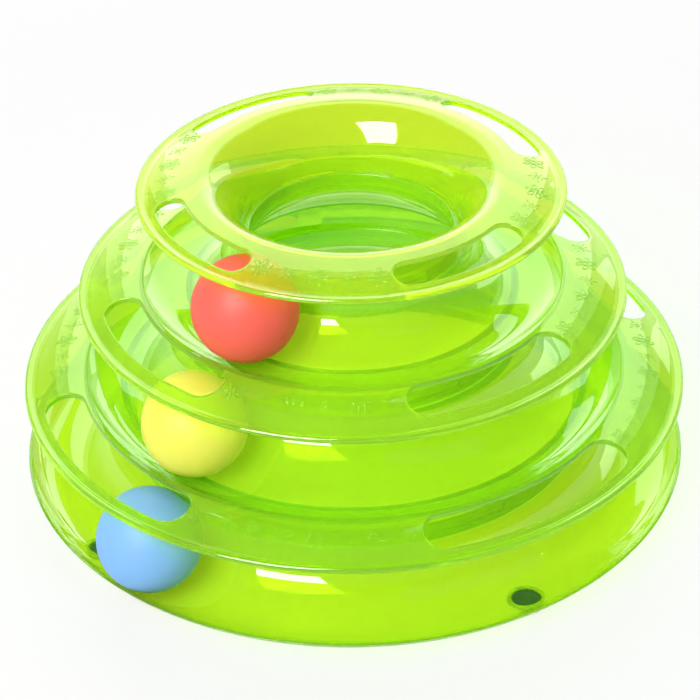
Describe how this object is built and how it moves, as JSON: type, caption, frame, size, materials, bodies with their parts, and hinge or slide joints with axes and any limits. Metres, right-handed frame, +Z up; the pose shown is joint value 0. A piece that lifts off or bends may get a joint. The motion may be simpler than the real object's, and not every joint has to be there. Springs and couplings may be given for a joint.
{
  "type": "cat puzzle feeder",
  "caption": "Round tower of stacked translucent ball tracks with slotted roofs, an open funnel top and loose rolling balls, for a cat to paw at.",
  "frame": {"origin": "on the surface it stands on, under the tower's axis", "axes": "+Z up the tower's axis; -Y is the front, where the picture looks from; +X to the right"},
  "size_m": [0.2524, 0.2524, 0.1253],
  "materials": {
    "lime_plastic_tray": "clear tinted, polished",
    "lime_plastic_lower": "clear tinted, polished, small embossed flowers on the roof",
    "lime_plastic_middle": "clear tinted, polished, small embossed flowers on the roof",
    "lime_plastic_top": "clear tinted, polished, small embossed flowers on the roof",
    "blue_plastic": "fine matte, light blue",
    "yellow_plastic": "fine matte, yellow",
    "red_plastic": "fine matte, coral red",
    "foot_rubber": "soft dark rubber"
  },
  "bodies": {
    "base": {"base_tray": "lime_plastic_tray", "foot_front_right": "foot_rubber", "foot_back_right": "foot_rubber", "foot_back_left": "foot_rubber", "foot_front_left": "foot_rubber"},
    "lower": {"lower_level": "lime_plastic_lower"},
    "middle": {"middle_level": "lime_plastic_middle"},
    "top": {"top_level": "lime_plastic_top"},
    "blue_ball": {"ball_blue": "blue_plastic"},
    "yellow_ball": {"ball_yellow": "yellow_plastic"},
    "red_ball": {"ball_red": "red_plastic"}
  },
  "joints": [
    {"name": "lower_twist", "type": "hinge", "parent": "base", "child": "lower", "pos_m": [0, 0, 0.025], "axis": [0, 0, 1], "range_deg": [0, 20]},
    {"name": "middle_twist", "type": "hinge", "parent": "lower", "child": "middle", "pos_m": [0, 0, 0.0645], "axis": [0, 0, 1], "range_deg": [0, 20]},
    {"name": "top_twist", "type": "hinge", "parent": "middle", "child": "top", "pos_m": [0, 0, 0.1005], "axis": [0, 0, 1], "range_deg": [0, 20]},
    {"name": "blue_ball_run", "type": "hinge", "parent": "base", "child": "blue_ball", "pos_m": [0, 0, 0.0224], "axis": [0, 0, 1], "continuous": true},
    {"name": "yellow_ball_run", "type": "hinge", "parent": "lower", "child": "yellow_ball", "pos_m": [0, 0, 0.0602], "axis": [0, 0, 1], "continuous": true},
    {"name": "red_ball_run", "type": "hinge", "parent": "middle", "child": "red_ball", "pos_m": [0, 0, 0.1002], "axis": [0, 0, 1], "continuous": true}
  ]
}
